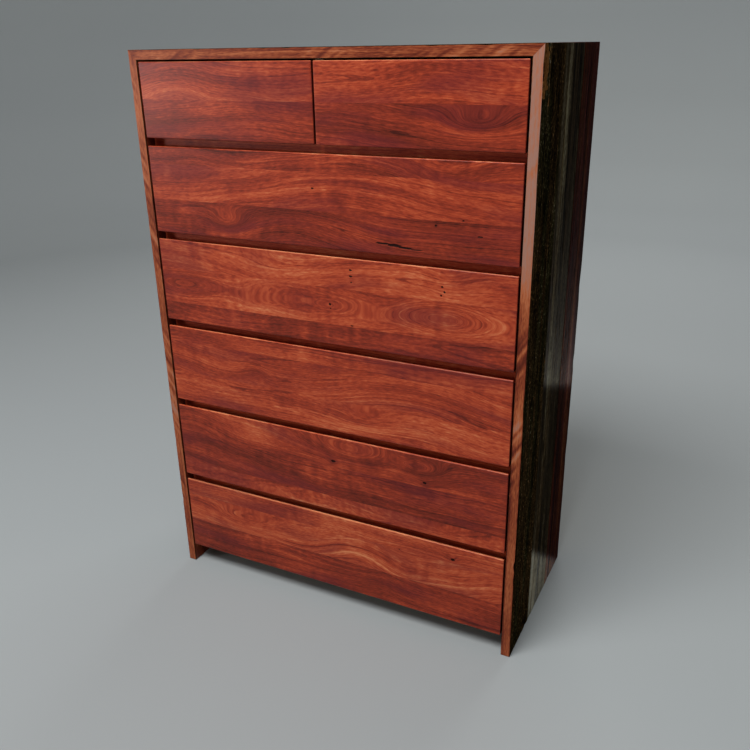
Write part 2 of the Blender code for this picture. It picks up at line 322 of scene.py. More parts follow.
# %% Oiled jarrah on the fronts
OIL_IOR = 1.48
OIL_SPECULAR = 0.19
JARRAH_LAYERS = (
    # along, across and into the log in mm, detail, strength
    (1500, 11, 500, 2.0, 0.42),
    (700, 3.2, 300, 1.0, 0.40),
    (210, 40, 40, 2.0, 0.66),
    (13, 1.9, 1.9, 2.0, 0.62),
)
JARRAH_SHADES = (
    ("#3C140D", 0.0), ("#732819", 0.36), ("#8F351F", 0.52), ("#A6492B", 0.70), ("#C2764F", 1.0),
)
PLUM_CAST = "#561A20"
oiled_fronts, tree, shader = new_finish("oiled_jarrah_fronts", 0.34, OIL_IOR, OIL_SPECULAR)
plane_timber(
    tree, shader, stored(tree, "log", "Vector"), stored(tree, "tone", "Fac"), JARRAH_LAYERS, JARRAH_SHADES,
    ripple=0.45, cast=PLUM_CAST,
)
print(oiled_fronts.name, "has", len(tree.nodes), "nodes")

# %% [markdown]
# ## Gum
# Jarrah bleeds a dark kino gum where a branch or a beetle hurt it. Planed open, a pocket of it is a small
# black hollow. We cut each hollow into the front, so it is there when the light moves.

# %% Dark gum
SPECKLES_PER_METRE = 900.0
gum, gum_tree, gum_shader = new_finish("dark_kino_gum", 0.60, 1.50, specular=0.1)
speckle = add(gum_tree, "ShaderNodeTexNoise", {}, {"Scale": SPECKLES_PER_METRE, "Detail": 2.0})
gum_colour = add(gum_tree, "ShaderNodeMix", {"data_type": "RGBA"}, {
    FACTOR: speckle.outputs["Fac"], COLOUR_A: linear("#0C0302"), COLOUR_B: linear("#260B06"),
}).outputs[MIXED]
gum_tree.links.new(gum_colour, gum_shader.inputs["Base Color"])
print("gum at roughness", gum_shader.inputs["Roughness"].default_value)

# %% [markdown]
# ## Drawer fronts
# Each front is glued up from two or three boards, about 80 mm wide, and no two boards match: the glue line
# shows as a crisp step in colour. The list names each front's boards from the top down, as they are seen.
# Widths and knots are in mm, the knots measured from the middle of the case and from the board's lower
# edge. The long streaks without a push lie along glue lines: there a pale side of one board meets a dark
# side of the next.

# %% The boards of each front
PALE, MID, DARK = 0.60, 0.48, 0.36
FRONT_BOARDS = {
    "top_left_drawer": [
        Board(76, MID + 0.05, 11, depth=0.07, taper=0.02, knots=[(-220, 0, 400, 26, 0, 0.05)], bends=[
            (-339, 22, 90), (-60, -8, 80),
        ]),
        Board(81, DARK + 0.02, 12, depth=0.06, knots=[(-220, 81, 400, 26, 0, -0.05)], bends=[
            (-170, 17, 160),
        ]),
    ],
    "top_right_drawer": [
        Board(76, MID + 0.01, 13, heart=1.5, depth=0.08, bends=[(250, 14, 110)]),
        Board(81, DARK + 0.02, 14, heart=1.9, knots=[(345, 54, 62, 26, -36, -0.14)], bends=[(10, 28, 190)]),
    ],
    "second_drawer": [
        Board(37, DARK + 0.05, 21, heart=2.2, bends=[(-320, 8, 60), (60, 20, 140), (290, -24, 80)]),
        Board(78, MID + 0.02, 22, heart=2.2, depth=0.09, knots=[(0, 78, 700, 24, 0, 0.08)], bends=[
            (60, 46, 250),
        ]),
        Board(76, DARK + 0.03, 23, depth=0.04, knots=[
            (-228, 40, 44, 22, -28, 0.04), (0, 76, 700, 24, 0, -0.09),
        ], bends=[(-60, 32, 140)]),
    ],
    "third_drawer": [
        Board(67, PALE + 0.01, 31, heart=1.6, bends=[(-130, -36, 180), (300, -14, 60)]),
        Board(82, MID + 0.03, 32, heart=0.5, depth=0.07, knots=[
            (282, 44, 92, 30, -44, 0.08), (23, 42, 36, 14, -9, 0.10), (-370, 50, 105, 30, -40, -0.14),
            (0, 0, 700, 28, 0, 0.17),
        ]),
        Board(46, DARK + 0.01, 33, heart=1.9, depth=0.10, knots=[(0, 46, 700, 24, 0, -0.10)], bends=[
            (0, 8, 200),
        ]),
    ],
    "fourth_drawer": [
        Board(37, MID + 0.07, 33, heart=3.8, depth=0.10),
        Board(80, MID + 0.07, 42, depth=0.045, knots=[(-190, 34, 46, 26, 18, -0.12)], bends=[
            (-456, 28, 150), (215, 42, 190),
        ]),
        Board(77, MID + 0.12, 43, depth=0.08, knots=[(90, 42, 105, 32, -15, 0.02)], bends=[
            (430, -25, 120),
        ]),
    ],
    "fifth_drawer": [
        Board(77, MID - 0.08, 51, heart=1.5, knots=[
            (13, 13, 20, 12, -10, -0.1), (243, 10, 22, 12, -10, -0.1), (232, 42, 62, 24, -36, -0.04),
            (60, 48, 110, 34, -44, 0.0), (-186, 45, 80, 44, 6, 0.22),
        ], bends=[(-400, 42, 130)]),
        Board(80, DARK - 0.03, 52, heart=1.9, depth=0.09, bends=[(-456, 42, 260)]),
        Board(39, MID + 0.05, 53, heart=1.2, depth=0.06, knots=[
            (-190, 18, 90, 16, 4, 0.14), (0, 39, 700, 16, 0, -0.06),
        ]),
    ],
    "bottom_drawer": [
        Board(43, MID + 0.09, 53, heart=2.3, depth=0.06, knots=[(313, 9, 18, 10, -9, -0.1)]),
        Board(77, MID + 0.13, 62, knots=[(-250, 42, 95, 28, -40, 0.0), (60, 30, 130, 24, 3, 0.12)], bends=[
            (-80, -22, 90), (60, 20, 110), (190, -10, 60), (456, 42, 110),
        ]),
        Board(83, DARK + 0.03, 63, heart=2.1, depth=0.10, bends=[(140, 12, 60), (-300, -10, 120)]),
    ],
}
# Pockets of gum: along from the middle of the case, height above the floor, length and height, in mm.
GUM_POCKETS = {
    "second_drawer": [
        (147, 932, 34, 4), (172, 930, 30, 6), (196, 927, 34, 4), (221, 925, 30, 2),
        (262, 977, 6, 4), (352, 962, 12, 3), (318, 990, 5, 3), (-11, 1032, 7, 4),
    ],
    "third_drawer": [
        (72, 869, 7, 4), (72, 856, 9, 4), (73, 843, 5, 3), (277, 856, 6, 4), (282, 846, 5, 5),
        (275, 838, 5, 4), (20, 789, 7, 6), (21, 780, 5, 3), (72, 747, 8, 3),
    ],
    "fifth_drawer": [(13, 408, 12, 7), (243, 405, 9, 6)],
    "bottom_drawer": [(313, 224, 11, 7), (180, 214, 4, 3)],
}
print(sum(len(boards) for boards in FRONT_BOARDS.values()), "boards in", len(FRONT_BOARDS), "fronts")

# %% [markdown]
# ## From a solid to a planed piece
# A front starts as a copy of its solid, with the sockets and the groove that the drawer box needs. Its
# arrises are rounded with a little bevel, and its face is sliced into a fine grid, because each corner of
# the grid carries its own place in the log. Slicing keeps the flat face flat, which subdividing a long face
# would not promise.

# %% Meshes and slices
WELD = 0.002 * MM
GRID_ALONG = 8 * MM
GRID_ACROSS = 5 * MM
COARSE_GRID = 26 * MM


def mesh_of(name, bm):
    """Writes an edited mesh into a new one of this name, and frees it."""
    mesh = bpy.data.meshes.new(name)
    bm.to_mesh(mesh)
    bm.free()
    return mesh


def steps(low, high, step):
    """Evenly spaced places between two ends, none of them on an end."""
    count = math.ceil((high - low) / step)
    return [low + (high - low) * number / count for number in range(1, count)]


def slice_faces(bm, faces, axis, places):
    """Cuts faces square to an axis (0 is X, 1 is Y, 2 is Z) at rising places. Gives back the parts."""
    normal = Vector((axis == 0, axis == 1, axis == 2))
    done = []
    for place in places:
        edges = {edge for face in faces for edge in face.edges}
        corners = {corner for face in faces for corner in face.verts}
        cut = bmesh.ops.bisect_plane(
            bm, geom=[*faces, *edges, *corners], dist=WELD, plane_co=normal * place, plane_no=normal
        )
        parts = [item for item in cut["geom"] if isinstance(item, bmesh.types.BMFace)]
        done += [face for face in parts if face.calc_center_median()[axis] < place]
        faces = [face for face in parts if face.calc_center_median()[axis] >= place]
    return done + faces


print("a front's face is sliced about every", round(GRID_ALONG / MM), "by", round(GRID_ACROSS / MM), "mm")

# %% Rounded arrises
ARRIS_ROUND = 0.5 * MM
# Angles between two faces, in radians: a chamfer's edge lies between these, and flat parts differ by less
# than this.
CHAMFER_ANGLES = (0.25, 0.9)
FLAT_WITHIN = math.radians(0.5)


def round_edges(bm, edges, size):
    """Rounds edges with two narrow faces each."""
    bmesh.ops.bevel(
        bm, geom=edges, offset=size, segments=2, profile=0.5, affect="EDGES", clamp_overlap=True
    )


def round_arrises(bm):
    """Rounds the edges where the solid's chamfers meet its faces."""
    least, most = CHAMFER_ANGLES
    convex = [edge for edge in bm.edges if len(edge.link_faces) == 2 and edge.is_convex]
    round_edges(bm, [edge for edge in convex if least < edge.calc_face_angle() < most], ARRIS_ROUND)


def from_node(node_name):
    """The node's solid as an editable mesh, with its flat faces whole again."""
    bm = bmesh.new()
    bm.from_mesh(NODES[node_name].data)
    bmesh.ops.remove_doubles(bm, verts=bm.verts, dist=WELD)
    bmesh.ops.dissolve_limit(bm, angle_limit=FLAT_WITHIN, verts=bm.verts, edges=bm.edges)
    return bm


print("arrises are rounded over", ARRIS_ROUND / MM, "mm")

# %% A finished piece and its stored log
CREASE = math.radians(50)


def new_piece(name, mesh, finishes, body, *node_names):
    """A smooth piece with flat faces kept flat, riding on a body in place of the solids that it shows."""
    piece = bpy.data.objects.new(name, mesh)
    bpy.context.scene.collection.objects.link(piece)
    for finish in finishes:
        mesh.materials.append(finish)
    mesh.shade_smooth()
    mesh.set_sharp_from_angle(angle=CREASE)
    flat = piece.modifiers.new("flat_faces", "WEIGHTED_NORMAL")
    flat.keep_sharp = True
    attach(piece, body)
    if node_names:
        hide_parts(*node_names)
    return piece


def store_log(mesh, place_at):
    """Writes log and tone at every corner; place_at gives both for a face and a point of it."""
    places, tones = [], []
    for face in mesh.polygons:
        for corner in face.loop_indices:
            place, tone = place_at(face, mesh.vertices[mesh.loops[corner].vertex_index].co)
            places.extend(place)
            tones.append(tone)
    mesh.attributes.new("log", "FLOAT_VECTOR", "CORNER").data.foreach_set("vector", places)
    mesh.attributes.new("tone", "FLOAT", "CORNER").data.foreach_set("value", tones)


print("edges sharper than", round(math.degrees(CREASE)), "degrees stay sharp")

# %% [markdown]
# ## Hollows of gum
# The pockets are ellipsoids sunk into the face by a Boolean. Its transfer mode gives the new faces the
# cutter's own material, so the hollow is black where it was cut and nowhere else.

# %% Gum pockets
POCKET_DEPTH = 0.9 * MM
POCKET_SIDES, POCKET_RINGS = 14, 7
# How much a pocket's outline swells and shrinks, how many lumps it has, and how far apart two pockets'
# noise lies.
POCKET_UNEVEN, POCKET_LUMPS, POCKET_SHIFT = 0.45, 1.7, 40
CUTTERS = bpy.data.collections.new("cutters")
bpy.context.scene.collection.children.link(CUTTERS)


def new_cutter(name, bm, finish):
    """A hidden solid for a Boolean, with one material on it."""
    mesh = mesh_of(name, bm)
    mesh.materials.append(finish)
    cutter = bpy.data.objects.new(name, mesh)
    CUTTERS.objects.link(cutter)
    cutter.hide_render = True
    return cutter


def subtract(mesh, finishes, cutters, overlapping=False):
    """The mesh less the cutters, worked out on a passing object; their parts may be overlapping."""
    block = bpy.data.objects.new("block", mesh)
    CUTTERS.objects.link(block)
    for finish in finishes:
        mesh.materials.append(finish)
    for cutter in cutters:
        boolean = block.modifiers.new(cutter.name, "BOOLEAN")
        boolean.object = cutter
        boolean.material_mode = "TRANSFER"
        boolean.use_self = overlapping
    ready = block.evaluated_get(bpy.context.evaluated_depsgraph_get())
    result = bpy.data.meshes.new_from_object(ready)
    bpy.data.objects.remove(block)
    for cutter in cutters:
        bpy.data.objects.remove(cutter)
    return result


def pocket_cutter(name, pockets, face_y):
    """Irregular lenses, sunk in the face at y, for (along, height, length, tall) in mm."""
    bm = bmesh.new()
    for along, height, length, tall in pockets:
        middle = Vector((along * MM, face_y, height * MM))
        size = Vector((length / 2 * MM, POCKET_DEPTH, tall / 2 * MM))
        ball = bmesh.ops.create_uvsphere(bm, u_segments=POCKET_SIDES, v_segments=POCKET_RINGS, radius=1.0)
        for corner in ball["verts"]:
            lump = noise.noise(corner.co * POCKET_LUMPS + middle * POCKET_SHIFT)
            uneven = 1 + POCKET_UNEVEN * lump
            corner.co = middle + Vector(a * b for a, b in zip(corner.co * uneven, size))
    return new_cutter(name, bm, gum)


print("pockets are up to", POCKET_DEPTH / MM, "mm deep")

# %% [markdown]
# ## The seven fronts
# A front could be one box with wood drawn over it, but then the step in colour at a glue line would blur.
# So it is cut at its glue lines, and each face asks its own board for its place in the log. The upper arris
# is painted pale: a painted highlight where the edge catches the light, and wear where hands pull the
# drawer.
# The end grain is painted darker: painted shade in the gaps beside the fronts, and end grain that drinks
# oil.

# %% The seven fronts
# A face counts as the front, or as end grain, when its normal points this squarely forwards or sideways.
FORWARDS, SIDEWAYS = 0.99, 0.9
# A band this high along the upper arris is painted paler by the next value: a painted highlight, and wear
# from hands.
HIGHLIGHT_AND_WEAR_BAND = 2 * MM
HIGHLIGHT_AND_WEAR_PALER = 0.32
# End grain is painted darker: painted shade in the gaps beside the fronts, and end grain that drinks more
# oil.
END_GRAIN_AND_GAP_SHADE = 0.40


def make_front(drawer, boards):
    """One drawer front, sliced at its glue lines and over its face."""
    node_name = f"{drawer}_front"
    low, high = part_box(node_name)
    bm = from_node(node_name)
    round_arrises(bm)
    edges_down = [high.z]
    for board in boards[:-1]:
        edges_down.append(edges_down[-1] - board.width)
    faces = slice_faces(bm, bm.faces[:], 2, sorted(edges_down[1:] + steps(low.z, high.z, COARSE_GRID)))
    slice_faces(bm, faces, 0, steps(low.x, high.x, COARSE_GRID))
    shown = [face for face in bm.faces if face.normal.y < -FORWARDS]
    edge = 2 * ARRIS_ROUND
    shown = slice_faces(bm, shown, 2, [*steps(low.z - edge, high.z - HIGHLIGHT_AND_WEAR_BAND, GRID_ACROSS), high.z - HIGHLIGHT_AND_WEAR_BAND])
    slice_faces(bm, shown, 0, steps(low.x - edge, high.x + edge, GRID_ALONG))
    mesh = mesh_of(node_name, bm)
    pockets = GUM_POCKETS.get(drawer)
    if pockets:
        cutter = pocket_cutter(f"{drawer}_pockets", pockets, low.y)
        mesh = subtract(mesh, [oiled_fronts], [cutter], overlapping=True)

    floors = [*edges_down[1:], low.z]
    known = {}

    def place_at(face, point):
        last = len(floors) - 1
        number = next(n for n, floor in enumerate(floors) if face.center.z >= floor or n == last)
        key = (number, *point)
        if key not in known:
            board, up = boards[number], point.z - floors[number]
            # The band along the upper arris is painted paler: a painted highlight, and wear from hands.
            tone = board.tone_at(point.x, up) + HIGHLIGHT_AND_WEAR_PALER * (point.z > high.z - HIGHLIGHT_AND_WEAR_BAND / 2)
            known[key] = (board.log_place(point.x, up, point.y - low.y), tone)
        place, tone = known[key]
        # Faces that point sideways are painted darker: painted shade in the gaps beside the fronts.
        return place, tone - END_GRAIN_AND_GAP_SHADE * (abs(face.normal.x) > SIDEWAYS)

    store_log(mesh, place_at)
    finishes = [] if pockets else [oiled_fronts]
    front = new_piece(f"oiled_{node_name}", mesh, finishes, drawer, node_name)
    return front


for drawer, boards in FRONT_BOARDS.items():
    front = make_front(drawer, boards)
    print(front.name, len(front.data.polygons), "faces")

# %% [markdown]
# ## Weathered jarrah
# The outer faces of the case are old timber left as it was found: dry, black and cracked on the front
# board, silver green on the middle one, red brown on the rear one. The two rear boards were sealed with a
# clear finish, so they shine in a raking light; the front board stayed so dry and open that it has no sheen
# at all. The sealer is a coat over a dull base. It is a thin film everywhere, and on the right side it lies
# thick over the foot and over a patch above the middle. Where the black skin of that side's top corner is
# scraped off, the dry brown timber under it shows.
# The shape of the weathering is modelled in the mesh below, and stored as a third value called eaten: how
# far the weather went in, in metres. The finish darkens the cracks by it. A fourth value called coat is the
# sealer.

# %% Weathered jarrah
DRY_LAYERS = (
    # along, across and into the board in mm, detail, strength
    (300, 40, 60, 2.0, 0.8),
    (45, 8, 20, 3.0, 0.7),
    (7, 5, 5, 3.0, 1.1),
)
SEALED_LAYERS = (
    (900, 26, 60, 1.0, 0.9),
    (260, 7, 20, 2.0, 0.6),
    (30, 2.4, 6, 2.0, 0.5),
    (9, 6, 6, 3.0, 0.5),
)
STRIPES_OF_CAST = (500, 34, 60)
CRUMBS = (6, 4, 4)
CRUMB_PALER = 0.36
# The values of the noise between which each of them fades in.
STRIPES_FROM, CRUMBS_FROM = (0.42, 0.60), (0.64, 0.72)
# How much paler the timber is where the weather barely went in, and how much darker where it went deep.
BARELY, BARELY_PALER = 0.2 * MM, 0.10
DEEPLY, DEEPLY_DARKER = 2.0 * MM, -0.30
ROUGH_BUMP, ROUGH_RELIEF = 0.8, 0.6 * MM
SEALED_BUMP, SEALED_RELIEF = 0.25, 0.4 * MM
SEALER_ROUGHNESS, SEALER_IOR = 0.16, 1.5


def new_weathered(name, layers, shades, cast, sealed=False):
    """Old timber: dark in its cracks, with stripes of a second hue, dry and crumbling or sealed."""
    finish, tree, shader = new_finish(name, 0.80, 1.45, specular=0.0)
    place, eaten = stored(tree, "log", "Vector"), stored(tree, "eaten", "Fac")
    depth = add(tree, "ShaderNodeMapRange", {}, {
        "Value": eaten,
        "From Min": BARELY, "To Min": BARELY_PALER,
        "From Max": DEEPLY, "To Max": DEEPLY_DARKER,
    }).outputs[0]
    shade = more(tree, depth, stored(tree, "tone", "Fac"), 1.0)
    shade, speckle = layered(tree, place, shade, layers)
    if not sealed:
        crumbs = above(tree, pattern(tree, place, CRUMBS), *CRUMBS_FROM)
        shade = more(tree, shade, crumbs, CRUMB_PALER)
    striped = above(tree, pattern(tree, place, STRIPES_OF_CAST), *STRIPES_FROM)
    colour = add(tree, "ShaderNodeMix", {"data_type": "RGBA"}, {
        FACTOR: striped, COLOUR_A: coloured(tree, shade, shades), COLOUR_B: coloured(tree, shade, cast),
    }).outputs[MIXED]
    tree.links.new(colour, shader.inputs["Base Color"])
    raise_surface(tree, shade, ROUGH_BUMP, ROUGH_RELIEF, shader.inputs["Normal"])
    if sealed:
        shader.inputs["Coat Roughness"].default_value = SEALER_ROUGHNESS
        shader.inputs["Coat IOR"].default_value = SEALER_IOR
        tree.links.new(stored(tree, "coat", "Fac"), shader.inputs["Coat Weight"])
        raise_surface(tree, shade, SEALED_BUMP, SEALED_RELIEF, shader.inputs["Coat Normal"])
    return finish


print("the weather darkens the timber from", BARELY / MM, "to", DEEPLY / MM, "mm deep")

# %% The weathered finishes
# Each is a list of (colour, shade), from the bottom of a crack to a bleached crumb.
BLACK = (("#0C0804", 0.1), ("#2B1F10", 0.42), ("#44331F", 0.62), ("#7A5630", 0.85), ("#B09C82", 1.15))
GREEN = (("#080703", 0.1), ("#211D0E", 0.42), ("#38321F", 0.62), ("#625C42", 0.85), ("#A29E86", 1.15))
GREY = (("#0D0905", 0.1), ("#2C2315", 0.42), ("#4A402E", 0.62), ("#7A725A", 0.85), ("#A8A088", 1.15))
OLIVE = (("#0B0804", 0.1), ("#271C0F", 0.42), ("#3E301D", 0.62), ("#665A3E", 0.85), ("#9A8E70", 1.15))
BROWN = (("#1A0804", 0.1), ("#3E1A0C", 0.42), ("#562E1A", 0.62), ("#7E4C2C", 0.85), ("#A88462", 1.15))
RUST = (("#20120A", 0.1), ("#644428", 0.42), ("#7A5636", 0.62), ("#A07446", 0.85), ("#B48C5E", 1.15))
ORANGE = (("#24120A", 0.1), ("#6C4422", 0.42), ("#86582E", 0.62), ("#A87438", 0.85), ("#B88A50", 1.15))
PURPLE = (("#160606", 0.1), ("#361510", 0.42), ("#4E2420", 0.62), ("#744640", 0.85), ("#A08078", 1.15))
dry_black = new_weathered("dry_black_jarrah", DRY_LAYERS, BLACK, GREEN)
bare_brown = new_weathered("bare_brown_jarrah", DRY_LAYERS, RUST, ORANGE)
sealed_grey = new_weathered("sealed_grey_jarrah", SEALED_LAYERS, GREY, OLIVE, sealed=True)
sealed_brown = new_weathered("sealed_brown_jarrah", SEALED_LAYERS, BROWN, PURPLE, sealed=True)
print("weathered finishes:", dry_black.name, bare_brown.name, sealed_grey.name, sealed_brown.name)

# %% [markdown]
# ## Planed edges
# The edges of the old boards were planed through to fresh wood. It is browner than the fronts, and its
# grain waves strongly, so the edges are barred with slanting ripples. They took less oil and shine less.

# %% Oiled jarrah on the edges
EDGE_SPECULAR = 0.12
EDGE_RIPPLES = (26, 200, 200)
EDGE_SHADES = (("#2E0F08", 0.0), ("#622819", 0.36), ("#7F3D23", 0.52), ("#9B5736", 0.70), ("#8E6759", 1.0))
planed_edges, tree, shader = new_finish("oiled_jarrah_edges", 0.38, OIL_IOR, EDGE_SPECULAR)
plane_timber(
    tree, shader, stored(tree, "log", "Vector"), stored(tree, "tone", "Fac"), JARRAH_LAYERS, EDGE_SHADES,
    ripple=1.3, ripples=EDGE_RIPPLES,
)
print(planed_edges.name, "is barred about every", EDGE_RIPPLES[0], "mm")

# %% [markdown]
# ## What the weather did
# Soft grain is eaten into furrows, checks open along the grain, the glue lines between the boards are open,
# and the front arris has lost chips. A bump in the material would do for a look straight on, but here the
# worn face is seen from the side and in outline, so it is modelled. One function says how deep the face is
# eaten at any place. It only ever takes wood away, so a panel never outgrows its solid.

# %% Weathering
PANEL_GLUE_LINES = (145 * MM, 297 * MM)
BOARD_LEVELS = (0.10 * MM, 0.45 * MM, 0.25 * MM)
FURROW = (9 * MM, 150 * MM, 0.34 * MM)
HOLLOW = (60 * MM, 420 * MM, 0.40 * MM)
CHECK = (17 * MM, 230 * MM, 1.3 * MM)
CHECK_SHARE = 0.07
GLUE_LINE = (2.4 * MM, 1.7 * MM)
CHIP_LENGTH, CHIP_DEPTH, CHIP_REACH, CHIP_RARE = 38 * MM, 4.0 * MM, 4.0 * MM, 0.42
SKIN_LOST = 0.75 * MM
WORN_ARRIS = 0.6 * MM
MITRE_ZONE = 25 * MM
# Each kind of damage reads its noise in a place of its own.
HOLLOW_SHIFT, CHECK_SHIFT, CHIP_SHIFT, RAGGED_SHIFT = 3.1, 7.7, 1.3, 2.3


def wander(across, along, sizes, seed):
    """Smooth noise from -1 to 1, stretched to a width and a length."""
    return noise.noise(Vector((across / sizes[0], along / sizes[1], seed)))


def eaten_at(across, along, to_mitre, seed, chipped):
    """How far in the weather went, `across` from the front edge and `to_mitre` from the panel's end."""
    board = sum(across > line for line in PANEL_GLUE_LINES)
    fade = min(to_mitre / MITRE_ZONE, 1.0)
    depth = SKIN_LOST + BOARD_LEVELS[board] + HOLLOW[2] * wander(across, along, HOLLOW, HOLLOW_SHIFT)
    depth += fade * FURROW[2] * wander(across, along, FURROW, seed)
    check = abs(wander(across, along, CHECK, seed + CHECK_SHIFT))
    depth += fade * CHECK[2] * max(0.0, 1 - check / CHECK_SHARE)
    for line in PANEL_GLUE_LINES:
        depth += GLUE_LINE[1] * max(0.0, 1 - abs(across - line) / GLUE_LINE[0])
    chip = max(0.0, wander(0, along, (1, CHIP_LENGTH), seed + CHIP_SHIFT) - CHIP_RARE) / (1 - CHIP_RARE)
    chip *= 1 + wander(0, along, (1, CHIP_LENGTH / 6), seed + RAGGED_SHIFT)
    depth += fade * chipped * CHIP_DEPTH * min(2 * chip, 1.0) * math.exp(-((across / CHIP_REACH) ** 2))
    depth += WORN_ARRIS * max(0.0, 1 - across / (2 * WORN_ARRIS))
    return max(depth, 0.0)


RIGHT_SEED = 9.0
deepest = max(eaten_at(0.0, height * MM, 1.0, RIGHT_SEED, 1.0) for height in range(1300))
print("the arris of the right side has lost up to", round(deepest / MM, 1), "mm")

# %% [markdown]
# ## How pale the old timber is
# The old face is striped along the grain: silver where the sun reached it, dark beside a glue line. The
# planed edges drift slowly between pale and dark. The top third of the right front edge is bleached deep,
# and at the same corner the black skin is scraped off. Each of these is a smooth function of real distances
# on the panel, so it stays in its place from every side, and it is stored with the mesh rather than drawn
# in the material.

# %% The tones of the old face and of the planed edges
FRONT_Y = case_low.y
# The last value darkens the planed inner faces of the sides: painted shade, as in the gaps beside the
# fronts.
RIGHT_EDGE_TONE, LEFT_EDGE_TONE, TOP_EDGE_TONE, INNER_PAINTED_SHADE = 0.54, 0.51, 0.46, 0.30
EDGE_SLANT = 1.6
OLD_TONE = 0.42
# Stripes of the old face: middle behind the front edge and half width, in mm, and how much paler.
OLD_STRIPES = (
    (20, 16, 0.08), (132, 10, 0.10), (186, 24, 0.42), (228, 9, -0.15), (254, 12, 0.20), (330, 20, -0.06),
)
BLEACHED_DOWN, BLEACHED_FADE, BLEACHED_TONE = 435, 26, 0.96
SCRAPED_ACROSS, SCRAPED_DOWN = 28, 105
# How much the planed edges drift, and over what length.
EDGE_DRIFT, EDGE_DRIFT_LENGTH = 0.12, 110 * MM
# How far the stripes wander sideways, over what length, and in what place of the noise.
STRIPE_DRIFT, STRIPE_DRIFT_LENGTH, STRIPE_SHIFT = 10 * MM, 0.5, 2.5
# How strong the stripes are on the whole, how much they fade in and out, and over what length.
STRIPE_STRENGTH, STRIPE_FADING, STRIPE_FADING_LENGTH = 0.75, 0.6, 0.32


def drifting(tone, along, seed):
    """The planed edges drift between pale and dark over some centimetres."""
    return tone + EDGE_DRIFT * noise.noise(Vector((along / EDGE_DRIFT_LENGTH, seed, 0)))


def old_tone(across, along, seed):
    """How pale the old face is: stripes that wander a little and fade in and out along the board."""
    tone = OLD_TONE
    drift = STRIPE_DRIFT * noise.noise(Vector((along / STRIPE_DRIFT_LENGTH, seed, STRIPE_SHIFT)))
    for middle, half, paler in OLD_STRIPES:
        fading = noise.noise(Vector((along / STRIPE_FADING_LENGTH, seed, middle)))
        strength = STRIPE_STRENGTH + STRIPE_FADING * fading
        tone += paler * strength * math.exp(-(((across - drift) / MM - middle) / half) ** 2)
    return tone


def bleached(down):
    """1 on the top third of the right edge, pale and pinkish where the old board had bleached deep."""
    return 1 / (1 + math.exp((down / MM - BLEACHED_DOWN) / BLEACHED_FADE))


def scraped(across, down):
    """1 in the top front corner of the right side, where the black skin is scraped off, and 0 elsewhere."""
    return math.exp(-(across / MM / SCRAPED_ACROSS) ** 2 - (down / MM / SCRAPED_DOWN) ** 4)


print("the palest stripe is", max(OLD_STRIPES, key=lambda stripe: stripe[2])[0], "mm behind the front edge")

# %% [markdown]
# ## Where the sealer lies thick, over a painted reflection
# The lower part of the right side shines pale, with sharp slanting ends: it mirrors what stands around it.
# A mirror image drawn on a surface would stay put when the viewer moves, yet here it is drawn: two zones
# of thicker sealer really shine, and the timber under them is painted paler as a painted reflection.

# %% The sealer on the right side
THIN_COAT, PATCH_COAT, FOOT_COAT = 0.02, 0.24, 0.48
# How much paler the timber is painted under the thick coat at the foot and in the patch: a painted
# reflection.
FOOT_PAINTED_REFLECTION, PATCH_PAINTED_REFLECTION = 0.50, 0.38
# The thick coat at the foot ends along a line that falls to the rear, and so does the patch above it:
# how high the line stands at the front edge, and how much it falls per metre of depth, then the patch's
# height.
FOOT_LINE = (0.300, 0.72)
PATCH_LINE = (0.675, 0.384, 0.16)
BELOW_PATCH = -0.1
COAT_FADE = 4 * MM


def foot_at(across, height):
    """1 below the line at the foot, where a thick coat lies over a painted reflection, and 0 above it."""
    return 1 / (1 + math.exp((height - FOOT_LINE[0] + FOOT_LINE[1] * across) / COAT_FADE))


def patch_at(across, height):
    """1 just over the middle line, falling away upwards, and 0 below it."""
    over_line = height - PATCH_LINE[0] + PATCH_LINE[1] * across
    if over_line < BELOW_PATCH:
        return 0.0
    return math.exp(-over_line / PATCH_LINE[2]) / (1 + math.exp(-over_line / COAT_FADE))


def coat_at(across, height):
    """How thick the sealer lies on a side, from 0 to 1."""
    foot = (FOOT_COAT - THIN_COAT) * foot_at(across, height)
    return THIN_COAT + foot + PATCH_COAT * patch_at(across, height)


print("sealer at the foot and near the top:", [round(coat_at(0.2, height), 2) for height in (0.05, 1.2)])

# %% [markdown]
# ## A panel from cross-sections
# A panel is a tube of cross-sections. Each section runs along the old face in about 3 mm steps and comes
# back round the planed inner face. At the mitre the depth moves a point along the mitre, so side and top,
# which use the same depth there, still meet. Building the mesh from sections puts its lines along the grain
# and across it, which a Boolean or a displaced grid wouldn't do. Only the housings for the rails and the
# bottom are cut with a Boolean.

# %% Sizes of a panel
PANEL_STEP_ACROSS = 3.2 * MM
PANEL_STEP_ALONG = 7 * MM
FOOT_ROUND = 2.5 * MM
INNER_ROUND = 1.2 * MM
MITRE_GAP = 0.3 * MM
HOUSING_FIT = 0.2 * MM
SIDE_LOW, SIDE_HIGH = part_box("right_side_panel")
PANEL_THICKNESS = SIDE_HIGH.x - SIDE_LOW.x
PANEL_DEPTH = SIDE_HIGH.y - SIDE_LOW.y
PANEL_FINISHES = [dry_black, sealed_grey, sealed_brown, planed_edges, bare_brown]
PLANED = PANEL_FINISHES.index(planed_edges)
ARRIS_PLACES = (0.0, 1.2 * MM, 3 * MM, 5.5 * MM)
REAR_ARRIS = 1.2 * MM
# A front or rear edge meets the inner face at a wide angle, in radians, and a step between sections
# doesn't.
EDGE_ANGLE = 1.0


